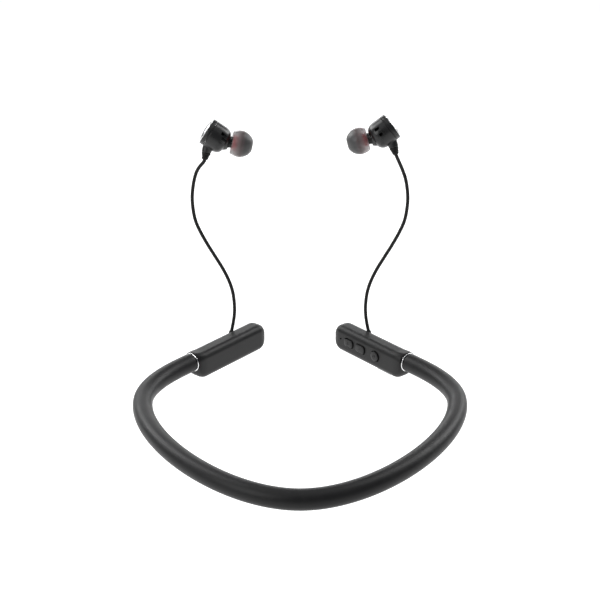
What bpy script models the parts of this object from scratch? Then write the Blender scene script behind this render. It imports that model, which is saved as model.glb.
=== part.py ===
"""Neckband earphones: a sprung silicone neckband, two end pods and two in-ear buds on short cables.

The neckband lies level, with the nape of the neck at the origin, +Y towards the pods at the wearer's chest,
+X towards the pod that carries the buttons and +Z up. The earbuds stand above the pods, as they are worn.
Left-hand pieces are modelled, and their right-hand twins are mirrored from them.
"""
import math

import bmesh
import bpy
from mathutils import Matrix, Vector

MM = 0.001
GAP = 0.3 * MM                      # clearance between neighbouring pieces
ROUND_STEPS = 20                    # facets round a turned piece
X_AXIS = Vector((1, 0, 0))
Y_AXIS = Vector((0, 1, 0))
Z_AXIS = Vector((0, 0, 1))
MIRROR = Matrix.Scale(-1, 4, X_AXIS)

# ---- neckband ----
BAND_RADIUS = 4.5 * MM
LUMEN_RADIUS = 2.2 * MM             # the hollow through the sleeve
BAND_HALF_WIDTH = 71.2 * MM         # centre line, at the widest place
BAND_WIDEST_Y = 80.0 * MM
BAND_STEP = 6.5 * MM
NAPE_HANDLE = 32.0 * MM             # Bezier handles of the half band
SIDE_HANDLE = 35.0 * MM
SHOULDER_HANDLE = 18.0 * MM
POD_HANDLE = 8.0 * MM
FLEX_AT = 60.0 * MM                 # distance along the band from the nape to each flex hinge
WIRE_RADIUS = 0.6 * MM
HARNESS_RADIUS = 0.8 * MM
CORE_OFFSET = 0.9 * MM              # wire towards the neck, harness away from it

# ---- pods, in a frame on the band's end: x along the pod, y outwards, z up ----
POD_MOUTH = Vector((-51.5, 118.5, 0.0)) * MM
POD_HEADING = Vector((0.64, 0.768, 0.0)).normalized()
POD_LENGTH = 48.4 * MM
POD_INNER = -5.5 * MM
POD_OUTER = 4.1 * MM
POD_TOP = 4.5 * MM
POD_BOTTOM = -8.9 * MM
POD_CORNER = 3.2 * MM
POD_NECK_RADIUS = 4.75 * MM         # the round mouth that the band meets
POD_WALL = 1.2 * MM
NEAR_BLEND = 5.0 * MM
FAR_BLEND = 5.0 * MM
SOCKET_RADIUS = 3.4 * MM
RING_WIDTH = 0.6 * MM
RING_RADIUS = 4.72 * MM
LID_SEAM_Y = 2.6 * MM
LID_SEAM_Z = 0.9 * MM

# ---- buttons on the right pod ----
BUTTON_Z = -1.8 * MM
VOLUME_BUTTONS = {"volume_up_button": 36.0 * MM, "volume_down_button": 27.5 * MM}
VOLUME_SIZE = (6.0 * MM, 3.8 * MM)
POWER_BUTTON_X = 17.0 * MM
POWER_RADIUS = 2.5 * MM
BUTTON_PROUD = 0.8 * MM
BUTTON_DEPTH = 2.4 * MM
BUTTON_GAP = 0.35 * MM
BOARD_FACE_Y = -1.5 * MM
MIC_X = 42.1 * MM
MIC_Z = -1.5 * MM
PORT_X = 12.0 * MM

# ---- cables ----
CABLE_RADIUS = 0.85 * MM
GROMMET_SEAT = Vector((31.1, 3.16, 3.56)) * MM
GROMMET_TILT = Vector((0.45, 0.1, 0.89)).normalized()
GROMMET_REACH = 0.6 * MM
GROMMET_HOLE = 1.45 * MM
CABLE_STEP = 3.2 * MM

# ---- earbuds, in a frame on the rear rim: x towards the nozzle side, z up, y sideways ----
LEFT_BUD_CENTRE = Vector((-43.0, 150.0, 104.8)) * MM
LEFT_BUD_FRONT = Vector((0.831, -0.112, -0.545)).normalized()
LEFT_BUD_UP = Vector((0.596, 0.358, 0.688))
RIGHT_BUD_CENTRE = Vector((42.35, 150.0, 107.2)) * MM
RIGHT_BUD_FRONT = Vector((-0.795, -0.177, -0.580)).normalized()
RIGHT_BUD_UP = Vector((-0.616, 0.373, 0.682))
NOZZLE_ANGLE = math.radians(23.0)
COLLAR = Vector((10.3, 0.0, 1.4)) * MM
COLLAR_RADIUS = 3.8 * MM
NOZZLE_RADIUS = 2.4 * MM
NOZZLE_BORE = 1.7 * MM
NOZZLE_LENGTH = 8.6 * MM
TIP_START = 1.5 * MM                # ear tip, measured along the nozzle from the collar
TIP_LENGTH = 9.9 * MM
TIP_RADIUS = 6.3 * MM
STRAIN_TOP = Vector((4.4, 1.2, -8.4)) * MM
STRAIN_DIRECTION = Vector((0.33, 0.2, -0.92)).normalized()
STRAIN_LENGTH = 3.6 * MM
VENTS = ((6.4 * MM, 2.2 * MM), (7.0 * MM, -0.4 * MM))
VENT_SIZE = (2.2 * MM, 1.5 * MM)
BOSS_RADIUS = 2.3 * MM              # the boss on the housing that the strain relief meets


# ------------------------------------------------------------------ scene helpers
def clear_scene():
    for item in list(bpy.data.objects):
        bpy.data.objects.remove(item, do_unlink=True)


def new_collection(name):
    collection = bpy.data.collections.new(name)
    bpy.context.scene.collection.children.link(collection)
    return collection


def new_material(name, colour, roughness, metallic=0.0):
    material = bpy.data.materials.new(name)
    material.use_nodes = True
    shader = material.node_tree.nodes["Principled BSDF"]
    shader.inputs["Base Color"].default_value = (*colour, 1.0)
    shader.inputs["Roughness"].default_value = roughness
    shader.inputs["Metallic"].default_value = metallic
    return material


def frame_matrix(origin, along, side):
    """A frame whose x runs along, whose y is as near to side as it can be, and whose z completes them."""
    x = along.normalized()
    z = x.cross(side).normalized()
    y = z.cross(x)
    rotation = Matrix((x, y, z)).transposed().to_4x4()
    return Matrix.Translation(origin) @ rotation


def axis_matrix(origin, axis):
    """A frame whose z runs along an axis, for turned pieces."""
    return Matrix.Translation(origin) @ axis.to_track_quat("Z", "Y").to_matrix().to_4x4()


def new_pivot(name, origin):
    """An empty on a joint's axis, which the moving pieces hang from."""
    pivot = bpy.data.objects.new(name, None)
    pivot.empty_display_size = 5 * MM
    pivot.location = origin
    PARTS.objects.link(pivot)
    return pivot


def place(item, matrix, pivot=None):
    """Puts an object at a world matrix, under its pivot."""
    if pivot is not None:
        item.parent = pivot
        matrix = Matrix.Translation(-pivot.location) @ matrix
    item.matrix_basis = matrix


def add_part(name, mesh, material, matrix=None, pivot=None):
    mesh.materials.clear()
    mesh.materials.append(material)
    item = bpy.data.objects.new(name, mesh)
    PARTS.objects.link(item)
    place(item, matrix or Matrix.Identity(4), pivot)
    return item


def mirrored(source, name, material=None, pivot=None, through=MIRROR):
    """The right-hand twin of a left-hand piece."""
    bpy.context.view_layer.update()
    evaluated = source.evaluated_get(bpy.context.evaluated_depsgraph_get())
    mesh = bpy.data.meshes.new_from_object(evaluated)
    offset = Matrix.Translation(-pivot.location) if pivot else Matrix.Identity(4)
    mesh.transform(offset @ through @ evaluated.matrix_world)
    mesh.flip_normals()
    twin = bpy.data.objects.new(name, mesh)
    PARTS.objects.link(twin)
    twin.parent = pivot
    if material:
        mesh.materials.clear()
        mesh.materials.append(material)
    return twin


def smooth(item, angle=35):
    item.data.shade_smooth()
    item.data.set_sharp_from_angle(angle=math.radians(angle))


# ------------------------------------------------------------------ shape helpers
def mesh_from(bm, name):
    bmesh.ops.recalc_face_normals(bm, faces=bm.faces)
    mesh = bpy.data.meshes.new(name)
    bm.to_mesh(mesh)
    bm.free()
    return mesh


def box_mesh(name, size, centre=(0, 0, 0), rounding=0.0, segments=2):
    bm = bmesh.new()
    bmesh.ops.create_cube(bm, size=1.0)
    bmesh.ops.scale(bm, vec=size, verts=bm.verts)
    bmesh.ops.translate(bm, vec=centre, verts=bm.verts)
    if rounding > 0:
        bmesh.ops.bevel(bm, geom=bm.edges, offset=rounding, segments=segments, profile=0.5, affect="EDGES")
    return mesh_from(bm, name)


def span_mesh(name, low, high, rounding=0.0):
    """A box between two opposite corners."""
    low = Vector(low)
    high = Vector(high)
    return box_mesh(name, high - low, (low + high) / 2, rounding)


def cylinder_mesh(name, radius, length, segments=ROUND_STEPS, end_radius=None):
    """A cylinder or cone from z = 0 to z = length."""
    bm = bmesh.new()
    top = radius if end_radius is None else end_radius
    bmesh.ops.create_cone(bm, cap_ends=True, segments=segments, radius1=radius, radius2=top, depth=length)
    bmesh.ops.translate(bm, vec=(0, 0, length / 2), verts=bm.verts)
    return mesh_from(bm, name)


def turned(name, profile, material, matrix, pivot=None, closed=False, steps=ROUND_STEPS):
    """A turned piece: (radius, height) points down the outer side, in millimetres, and back up a bore."""
    bm = bmesh.new()
    verts = [bm.verts.new((radius * MM, 0.0, height * MM)) for radius, height in profile]
    for first, second in zip(verts, verts[1:]):
        bm.edges.new((first, second))
    if closed:
        bm.edges.new((verts[-1], verts[0]))
    mesh = bpy.data.meshes.new(name)
    bm.to_mesh(mesh)
    bm.free()
    item = add_part(name, mesh, material, matrix, pivot)
    screw = item.modifiers.new("turn", "SCREW")
    screw.axis = "Z"
    screw.steps = steps
    screw.render_steps = steps
    screw.use_merge_vertices = True
    screw.merge_threshold = 0.00001
    screw.use_smooth_shade = True
    return item


def tube_curve(name, points, radius, resolution, scales=None):
    data = bpy.data.curves.new(name, "CURVE")
    data.dimensions = "3D"
    data.bevel_depth = radius
    data.bevel_resolution = resolution
    data.use_fill_caps = True
    spline = data.splines.new("POLY")
    spline.points.add(len(points) - 1)
    for target, point in zip(spline.points, points):
        target.co = (*point, 1.0)
    if scales:
        for target, scale in zip(spline.points, scales):
            target.radius = scale
    return data


def tube(name, points, radius, material, resolution=2, pivot=None):
    """A tube left as a curve object."""
    start = pivot.location if pivot else Vector((0, 0, 0))
    data = tube_curve(name, [point - start for point in points], radius, resolution)
    data.materials.append(material)
    item = bpy.data.objects.new(name, data)
    PARTS.objects.link(item)
    item.parent = pivot
    return item


def tube_mesh(name, points, radius, resolution, scales=None):
    """A closed mesh of a tube, for a piece that is cut or that cuts. Scales vary its radius along it."""
    item = bpy.data.objects.new(name, tube_curve(name, points, radius, resolution, scales))
    PARTS.objects.link(item)
    bpy.context.view_layer.update()
    mesh = bpy.data.meshes.new_from_object(item.evaluated_get(bpy.context.evaluated_depsgraph_get()))
    bpy.data.objects.remove(item, do_unlink=True)
    bm = bmesh.new()
    bm.from_mesh(mesh)
    bmesh.ops.remove_doubles(bm, verts=bm.verts, dist=0.000001)
    bpy.data.meshes.remove(mesh)
    return mesh_from(bm, name)


def cut(item, mesh, matrix=None, operation="DIFFERENCE"):
    """Adds a Boolean with a hidden cutter, placed in the world by its matrix."""
    cutter = bpy.data.objects.new("cutter_" + item.name, mesh)
    CUTTERS.objects.link(cutter)
    cutter.hide_render = True
    cutter.display_type = "WIRE"
    place(cutter, matrix or Matrix.Identity(4))
    boolean = item.modifiers.new(operation.lower(), "BOOLEAN")
    boolean.operation = operation
    boolean.object = cutter
    boolean.solver = "EXACT"
    return item


def loft_mesh(name, sections):
    bm = bmesh.new()
    rings = [[bm.verts.new(point) for point in section] for section in sections]
    count = len(rings[0])
    for lower, upper in zip(rings, rings[1:]):
        for i in range(count):
            j = (i + 1) % count
            bm.faces.new((lower[i], lower[j], upper[j], upper[i]))
    bm.faces.new(rings[0])
    bm.faces.new(rings[-1])
    return mesh_from(bm, name)


def rounded_section(x, y_low, y_high, z_low, z_high, radius, steps=4):
    """A rectangle with round corners, in the plane at x."""
    radius = min(radius, 0.48 * (y_high - y_low), 0.48 * (z_high - z_low))
    corners = (
        (y_high - radius, z_high - radius, 0),
        (y_low + radius, z_high - radius, 90),
        (y_low + radius, z_low + radius, 180),
        (y_high - radius, z_low + radius, 270),
    )
    points = []
    for y, z, start in corners:
        for step in range(steps + 1):
            angle = math.radians(start + 90 * step / steps)
            points.append(Vector((x, y + radius * math.cos(angle), z + radius * math.sin(angle))))
    return points


def mix(a, b, share):
    return a + (b - a) * share


# ------------------------------------------------------------------ neckband
def bezier_point(p0, p1, p2, p3, t):
    s = 1 - t
    return p0 * s ** 3 + p1 * (3 * s * s * t) + p2 * (3 * s * t * t) + p3 * t ** 3


def half_band():
    """The left half of the centre line, from the nape to the pod's mouth, in many small steps."""
    nape = Vector((0, -BAND_RADIUS, 0))
    side = Vector((-BAND_HALF_WIDTH, BAND_WIDEST_Y, 0))
    spans = (
        (nape, nape - X_AXIS * NAPE_HANDLE, side - Y_AXIS * SIDE_HANDLE, side),
        (side, side + Y_AXIS * SHOULDER_HANDLE, POD_MOUTH - POD_HEADING * POD_HANDLE, POD_MOUTH),
    )
    points = [nape]
    for span in spans:
        points += [bezier_point(*span, i / 60) for i in range(1, 61)]
    return points


def band_lengths(points):
    lengths = [0.0]
    for first, second in zip(points, points[1:]):
        lengths.append(lengths[-1] + (second - first).length)
    return lengths


HALF_BAND = half_band()
HALF_LENGTHS = band_lengths(HALF_BAND)
BAND_END = HALF_LENGTHS[-1]


def band_at(distance, offset=0.0):
    """A point of the centre line: distance from the nape, negative on the right; offset towards the neck."""
    reach = min(abs(distance), BAND_END)
    index = 1
    while HALF_LENGTHS[index] < reach and index < len(HALF_BAND) - 1:
        index += 1
    low = HALF_BAND[index - 1]
    high = HALF_BAND[index]
    share = (reach - HALF_LENGTHS[index - 1]) / (HALF_LENGTHS[index] - HALF_LENGTHS[index - 1])
    heading = (high - low).normalized()
    point = low.lerp(high, share) + heading * (abs(distance) - reach)
    point += Vector((heading.y, -heading.x, 0)) * offset
    return point if distance >= 0 else MIRROR @ point


def band_run(start, end, offset=0.0):
    count = max(2, round(abs(end - start) / BAND_STEP) + 1)
    return [band_at(mix(start, end, i / (count - 1)), offset) for i in range(count)]


def sphere_mesh(name, radius):
    bm = bmesh.new()
    bmesh.ops.create_uvsphere(bm, u_segments=20, v_segments=12, radius=radius)
    return mesh_from(bm, name)


def build_band():
    """The sleeve in three lengths that meet in ball joints, and the spring wire and harness inside it."""
    rubber = MATERIALS["silicone"]
    lumen_end = BAND_END + 4 * MM
    lumen = tube_mesh("lumen", band_run(-lumen_end, lumen_end), LUMEN_RADIUS, 2)

    nape_mesh = tube_mesh("sleeve_nape", band_run(-FLEX_AT, FLEX_AT), BAND_RADIUS, 6)
    centre = add_part("sleeve_nape", nape_mesh, rubber)
    for sign in (1, -1):
        cut(centre, sphere_mesh("cup", BAND_RADIUS + GAP), Matrix.Translation(band_at(sign * FLEX_AT)))
    cut(centre, lumen)
    smooth(centre)

    sleeve_end = BAND_END - RING_WIDTH - 2 * GAP
    run = band_run(FLEX_AT, sleeve_end)
    angles = [math.radians(degrees) for degrees in (72, 54, 36, 18)]
    ball = [band_at(FLEX_AT - BAND_RADIUS * math.sin(angle)) for angle in angles]
    scales = [math.cos(angle) for angle in angles] + [1.0] * len(run)
    arm_mesh = tube_mesh("left_sleeve", ball + run, BAND_RADIUS, 6, scales)
    arm = add_part("left_sleeve", arm_mesh, rubber, None, LEFT_FLEX)
    arm.matrix_basis = Matrix.Translation(-LEFT_FLEX.location)
    cut(arm, lumen)
    smooth(arm)
    smooth(mirrored(arm, "right_sleeve", rubber, RIGHT_FLEX))

    reach = BAND_END + 1.5 * MM
    tube("memory_wire", band_run(-reach, reach, CORE_OFFSET), WIRE_RADIUS, MATERIALS["steel"])
    reach = BAND_END + 5.2 * MM
    tube("signal_harness", band_run(-reach, reach, -CORE_OFFSET), HARNESS_RADIUS, MATERIALS["cable"])


def build_band_ends():
    """The bright ring and the moulded plug at each end of the band."""
    inward = -POD_HEADING
    ring_profile = [
        (RING_RADIUS / MM - 0.25, RING_WIDTH / MM),
        (RING_RADIUS / MM, RING_WIDTH / MM - 0.25),
        (RING_RADIUS / MM, 0.25),
        (RING_RADIUS / MM - 0.25, 0.0),
        (SOCKET_RADIUS / MM, 0.0),
        (SOCKET_RADIUS / MM, RING_WIDTH / MM),
    ]
    ring_frame = axis_matrix(POD_MOUTH - POD_HEADING * GAP, inward)
    ring = turned("left_trim_ring", ring_profile, MATERIALS["chrome"], ring_frame, LEFT_FLEX, closed=True,
                  steps=32)
    mirrored(ring, "right_trim_ring", MATERIALS["chrome"], RIGHT_FLEX)

    plug_start = POD_MOUTH - POD_HEADING * 0.85 * MM
    plug_mesh = cylinder_mesh("left_band_plug", SOCKET_RADIUS - GAP, 4.6 * MM)
    plug_frame = axis_matrix(plug_start, POD_HEADING)
    plug = add_part("left_band_plug", plug_mesh, MATERIALS["plastic"], plug_frame, LEFT_FLEX)
    side = Vector((POD_HEADING.y, -POD_HEADING.x, 0))
    for offset, radius in ((CORE_OFFSET, WIRE_RADIUS), (-CORE_OFFSET, HARNESS_RADIUS)):
        hole = cylinder_mesh("plug_hole", radius + GAP, 8 * MM, 8)
        cut(plug, hole, axis_matrix(plug_start - POD_HEADING * 2 * MM + side * offset, POD_HEADING))
    mirrored(plug, "right_band_plug", MATERIALS["plastic"], RIGHT_FLEX)


# ------------------------------------------------------------------ pods
def pod_sections():
    """The pod's outer form, from its round mouth to its rounded far end."""
    sections = []
    for share in (0.0, 0.08, 0.22, 0.42, 0.68, 1.0):
        ease = math.sqrt(1 - (1 - share) ** 2)
        sections.append(rounded_section(
            share * NEAR_BLEND,
            mix(-POD_NECK_RADIUS, POD_INNER, ease), mix(POD_NECK_RADIUS, POD_OUTER, share),
            mix(-POD_NECK_RADIUS, POD_BOTTOM, ease), mix(POD_NECK_RADIUS, POD_TOP, share),
            mix(POD_NECK_RADIUS, POD_CORNER, ease)))
    for share in (0.0, 0.35, 0.6, 0.8, 0.93, 1.0):
        ease = 1 - math.sqrt(1 - share * share)
        tall = 4.2 * MM * ease
        wide = 2.8 * MM * ease
        sections.append(rounded_section(
            POD_LENGTH - FAR_BLEND * (1 - share),
            POD_INNER + wide, POD_OUTER - wide,
            POD_BOTTOM + tall, POD_TOP - tall, POD_CORNER))
    return sections


def build_pod_shells():
    outer = loft_mesh("pod_form", pod_sections())
    shell = add_part("left_pod_shell", outer.copy(), MATERIALS["pod"], POD_FRAME, LEFT_FLEX)
    far = POD_LENGTH - 2 * MM
    seam = span_mesh("lid_recess", (5 * MM, LID_SEAM_Y, -12 * MM), (60 * MM, 8 * MM, LID_SEAM_Z))
    lower_hollow = span_mesh("hollow", (4 * MM, POD_INNER + POD_WALL, POD_BOTTOM + POD_WALL),
                             (far, LID_SEAM_Y + 1 * MM, LID_SEAM_Z - 0.8 * MM))
    upper_hollow = span_mesh("hollow_top", (4.5 * MM, POD_INNER + POD_WALL + 0.3 * MM, -3 * MM),
                             (far - 0.5 * MM, 1.5 * MM, POD_TOP - POD_WALL))
    socket = cylinder_mesh("socket", SOCKET_RADIUS, 8 * MM)
    for cutter in (seam, lower_hollow, upper_hollow):
        cut(shell, cutter, POD_FRAME)
    cut(shell, socket, axis_matrix(POD_MOUTH - POD_HEADING * 2 * MM, POD_HEADING))
    cut(shell, cylinder_mesh("grommet_hole", GROMMET_HOLE, 6 * MM, 12),
        POD_FRAME @ axis_matrix(GROMMET_SEAT - GROMMET_TILT * 4 * MM, GROMMET_TILT))
    smooth(shell)
    right = mirrored(shell, "right_pod_shell", MATERIALS["pod"], RIGHT_FLEX)
    smooth(right)

    lid = add_part("left_pod_lid", outer.copy(), MATERIALS["pod"], POD_FRAME, LEFT_FLEX)
    keep = span_mesh("lid_keep", (5 * MM + GAP, LID_SEAM_Y + GAP, -12 * MM),
                     (60 * MM, 8 * MM, LID_SEAM_Z - GAP))
    cut(lid, keep, POD_FRAME, operation="INTERSECT")
    smooth(lid)
    smooth(mirrored(lid, "right_pod_lid", MATERIALS["pod"], RIGHT_FLEX))
    return right


def build_grommets():
    profile = [(0, 0.6), (0.95, 0.6), (1.1, 0.25), (1.15, 0.0), (1.15, -1.8), (0, -1.8)]
    frame = POD_FRAME @ axis_matrix(GROMMET_SEAT + GROMMET_TILT * GAP, GROMMET_TILT)
    grommet = turned("left_cable_grommet", profile, MATERIALS["cable"], frame, LEFT_FLEX, steps=12)
    mirrored(grommet, "right_cable_grommet", MATERIALS["cable"], RIGHT_FLEX)


def pod_block(name, low, high, material, right=True, rounding=0.0):
    """A block given in pod millimetres, in the left pod or mirrored into the right one."""
    mesh = span_mesh(name, Vector(low) * MM, Vector(high) * MM, rounding * MM)
    if not right:
        return add_part(name, mesh, material, POD_FRAME, LEFT_FLEX)
    draft = add_part(name + "_draft", mesh, material, POD_FRAME)
    item = mirrored(draft, name, material, RIGHT_FLEX)
    bpy.data.objects.remove(draft, do_unlink=True)
    return item


def build_left_electronics():
    pod_block("battery_cell", (11.5, -3.8, -7.2), (43.5, 1.1, 2.4), MATERIALS["battery"],
              right=False, rounding=0.5)
    pod_block("protection_board", (9.4, -3.4, -5.5), (10.2, 0.8, 1.6), MATERIALS["board"], right=False)


def build_right_electronics(shell):
    board_y = BOARD_FACE_Y / MM
    pod_block("main_board", (9.4, board_y, -5.6), (43.5, board_y + 0.8, 2.6), MATERIALS["board"])
    pod_block("radio_module", (21.0, board_y + 1.1, -5.0), (32.0, board_y + 2.6, -0.4), MATERIALS["steel"])
    pod_block("microphone", (41.1, -3.9, -2.6), (43.1, board_y - 0.3, -0.4), MATERIALS["steel"])
    switches = {"volume_up_switch": VOLUME_BUTTONS["volume_up_button"],
                "volume_down_switch": VOLUME_BUTTONS["volume_down_button"],
                "power_switch": POWER_BUTTON_X}
    z = BUTTON_Z / MM
    for name, x in switches.items():
        x /= MM
        low = (x - 1.3, board_y - 1.1, z - 1.3)
        high = (x + 1.3, board_y - 0.3, z + 1.3)
        pod_block(name, low, high, MATERIALS["steel"])

    port_x = PORT_X / MM
    port_low = (port_x - 4.4, -4.0, -8.8)
    port_high = (port_x + 4.4, -0.8, -6.2)
    port = pod_block("charging_port", port_low, port_high, MATERIALS["steel"])
    mouth_low = Vector((port_x - 4.0, -3.6, -10)) * MM
    mouth_high = Vector((port_x + 4.0, -1.2, -6.8)) * MM
    recess = span_mesh("port_mouth", mouth_low, mouth_high)
    cut(port, recess, RIGHT_POD_FRAME_MIRRORED)
    window_low = Vector((port_x - 4.7, -4.3, -10)) * MM
    window_high = Vector((port_x + 4.7, -0.5, -6)) * MM
    window = span_mesh("port_window", window_low, window_high)
    hole = cylinder_mesh("mic_hole", 0.45 * MM, 4 * MM, 8)
    cut(shell, window, RIGHT_POD_FRAME_MIRRORED)
    hole_start = Vector((MIC_X, POD_INNER - 1 * MM, MIC_Z))
    cut(shell, hole, RIGHT_POD_FRAME_MIRRORED @ axis_matrix(hole_start, Y_AXIS))


def button_mesh(name, outline_half, grow=0.0, depth=BUTTON_DEPTH, round_cap=False):
    """A button from its front face at y = 0 back to y = depth, with a rounded rectangle or round outline."""
    half_x, half_z = outline_half
    half_x += grow
    half_z += grow
    radius = min(half_x, half_z) if round_cap else 1.3 * MM + grow
    inset = 0.3 * MM if grow == 0 else 0.0
    sections = []
    for y, shrink in ((0.0, inset), (0.25 * MM, inset * 0.25), (0.5 * MM, 0.0), (depth, 0.0)):
        section = rounded_section(0, -half_x + shrink, half_x - shrink, -half_z + shrink, half_z - shrink,
                                  max(radius - shrink, 0.2 * MM), 4)
        sections.append([Vector((point.y, y, point.z)) for point in section])
    return loft_mesh(name, sections)


def build_buttons(shell):
    """Three push buttons, each with its origin on its front face and sliding along the pod's inner normal."""
    volume_half = (VOLUME_SIZE[0] / 2, VOLUME_SIZE[1] / 2)
    caps = {name: (x, volume_half, False) for name, x in VOLUME_BUTTONS.items()}
    caps["power_button"] = (POWER_BUTTON_X, (POWER_RADIUS, POWER_RADIUS), True)
    for name, (x, half, round_cap) in caps.items():
        front = RIGHT_POD_FRAME_MIRRORED @ Matrix.Translation((x, POD_INNER - BUTTON_PROUD, BUTTON_Z))
        pivot = new_pivot(name + "_axis", front.translation)
        mesh = button_mesh(name, half, round_cap=round_cap)
        mesh.flip_normals()
        mesh.transform(Matrix.Translation(-front.translation) @ front)
        cap = add_part(name, mesh, MATERIALS["pod"])
        cap.parent = pivot
        smooth(cap)
        opening = button_mesh(name + "_opening", half, BUTTON_GAP, 5 * MM, round_cap)
        opening.transform(Matrix.Translation((0, -1.5 * MM, 0)))
        opening.flip_normals()
        opening.transform(front)
        cut(shell, opening)


# ------------------------------------------------------------------ earbuds
def build_bud_housings():
    front_profile = [(0, 10.2), (3.6, 10.1), (5.0, 9.4), (6.0, 8.2), (6.5, 6.6), (6.6, 5.0),
                     (6.6, 1.2), (0, 1.2)]
    front = turned("left_bud_front", front_profile, MATERIALS["bud"], BUD_AXIS, LEFT_SWING, steps=24)
    base = cylinder_mesh("nozzle_base", 5.3 * MM, 7.0 * MM, 24, COLLAR_RADIUS)
    cut(front, base, NOZZLE_AXIS @ Matrix.Translation((0, 0, -7 * MM)), operation="UNION")
    neck = cylinder_mesh("nozzle_neck", 3.0 * MM, 3.0 * MM, 24, NOZZLE_RADIUS + 0.2 * MM)
    cut(front, neck, NOZZLE_AXIS @ Matrix.Translation((0, 0, -0.6 * MM)), operation="UNION")
    stem = cylinder_mesh("nozzle_stem", NOZZLE_RADIUS, NOZZLE_LENGTH + 1 * MM, 24)
    cut(front, stem, NOZZLE_AXIS @ Matrix.Translation((0, 0, -1 * MM)), operation="UNION")
    boss = cylinder_mesh("cable_boss", BOSS_RADIUS, 5 * MM, 16)
    boss_start = STRAIN_TOP - STRAIN_DIRECTION * (5 * MM + GAP)
    boss_axis = BUD_FRAME @ axis_matrix(boss_start, STRAIN_DIRECTION)
    cut(front, boss, boss_axis, operation="UNION")
    cut(front, cylinder_mesh("driver_hollow", 5.7 * MM, 6.8 * MM, 24), BUD_AXIS)
    bore = cylinder_mesh("nozzle_bore", NOZZLE_BORE, 20 * MM, 16)
    cut(front, bore, NOZZLE_AXIS @ Matrix.Translation((0, 0, -5 * MM)))
    for x, z in VENTS:
        low = (x - VENT_SIZE[0] / 2, -8 * MM, z - VENT_SIZE[1] / 2)
        high = (x + VENT_SIZE[0] / 2, -3 * MM, z + VENT_SIZE[1] / 2)
        slot = span_mesh("vent", low, high)
        cut(front, slot, BUD_FRAME)
    smooth(front, 30)
    mirrored(front, "right_bud_front", MATERIALS["bud"], RIGHT_SWING, TO_RIGHT_BUD)

    rear_profile = [(6.55, 0.9), (6.6, 0.75), (6.6, -0.4), (5.6, -0.4), (5.6, 0.9)]
    rear = turned("left_bud_rear", rear_profile, MATERIALS["bud"], BUD_AXIS, LEFT_SWING, closed=True,
                  steps=24)
    mirrored(rear, "right_bud_rear", MATERIALS["bud"], RIGHT_SWING, TO_RIGHT_BUD)

    ring_profile = [(6.5, -0.7), (6.6, -0.85), (6.6, -1.15), (6.4, -1.3), (5.9, -1.3), (5.9, -0.7)]
    ring = turned("left_bud_ring", ring_profile, MATERIALS["chrome"], BUD_AXIS, LEFT_SWING, closed=True,
                  steps=24)
    mirrored(ring, "right_bud_ring", MATERIALS["chrome"], RIGHT_SWING, TO_RIGHT_BUD)

    cap_profile = [(0, -0.7), (5.6, -0.7), (5.6, -1.35), (4.6, -1.75), (3.0, -2.1), (1.4, -2.25), (0, -2.3)]
    cap = turned("left_bud_cap", cap_profile, MATERIALS["chrome"], BUD_AXIS, LEFT_SWING, steps=24)
    mirrored(cap, "right_bud_cap", MATERIALS["chrome"], RIGHT_SWING, TO_RIGHT_BUD)


def build_bud_internals():
    driver_profile = [(0, 5.6), (3.6, 5.6), (5.2, 4.9), (5.3, 4.7), (5.3, 3.4), (4.2, 3.2),
                      (4.2, 2.2), (0, 2.2)]
    driver = turned("left_driver", driver_profile, MATERIALS["steel"], BUD_AXIS, LEFT_SWING, steps=16)
    mirrored(driver, "right_driver", MATERIALS["steel"], RIGHT_SWING, TO_RIGHT_BUD)
    magnet_profile = [(0, 1.6), (4.0, 1.6), (4.0, -0.3), (0, -0.3)]
    magnet = turned("left_magnet", magnet_profile, MATERIALS["steel"], BUD_AXIS, LEFT_SWING, steps=16)
    mirrored(magnet, "right_magnet", MATERIALS["steel"], RIGHT_SWING, TO_RIGHT_BUD)
    mesh_profile = [(0, 8.2), (1.35, 8.2), (1.35, 7.9), (0, 7.9)]
    screen = turned("left_nozzle_mesh", mesh_profile, MATERIALS["steel"], NOZZLE_AXIS, LEFT_SWING, steps=12)
    mirrored(screen, "right_nozzle_mesh", MATERIALS["steel"], RIGHT_SWING, TO_RIGHT_BUD)


def build_ear_tips():
    """The soft dome and its firmer core. Heights run along the nozzle from the collar."""
    start = TIP_START / MM
    nose = start + TIP_LENGTH / MM
    wide = TIP_RADIUS / MM
    outer = [(2.2, nose), (3.2, nose - 0.45), (4.5, nose - 1.5), (5.3, nose - 2.5), (5.95, nose - 3.8),
             (wide, nose - 5.8), (6.05, nose - 7.7), (5.6, nose - 9.0), (5.15, start)]
    inner = [(4.65, start + 0.1), (5.05, nose - 8.9), (5.5, nose - 7.6), (5.7, nose - 5.8),
             (5.35, nose - 4.0), (4.6, nose - 2.7), (4.0, nose - 2.0), (3.65, nose - 1.8),
             (3.65, nose - 1.15), (2.2, nose - 0.9)]
    dome = turned("left_tip_dome", outer + inner, MATERIALS["tip"], NOZZLE_AXIS, LEFT_TIP, closed=True,
                  steps=24)
    mirrored(dome, "right_tip_dome", MATERIALS["tip"], RIGHT_TIP, TO_RIGHT_BUD)
    core_end = nose - 1.5
    core = [(1.9, core_end), (3.1, core_end), (3.35, core_end - 0.3), (3.35, start + 1.3), (3.1, start + 0.6),
            (2.75, start + 0.6), (2.75, 9.0), (1.9, 9.3)]
    stem = turned("left_tip_core", core, MATERIALS["core"], NOZZLE_AXIS, LEFT_TIP, closed=True, steps=16)
    mirrored(stem, "right_tip_core", MATERIALS["core"], RIGHT_TIP, TO_RIGHT_BUD)


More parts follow.
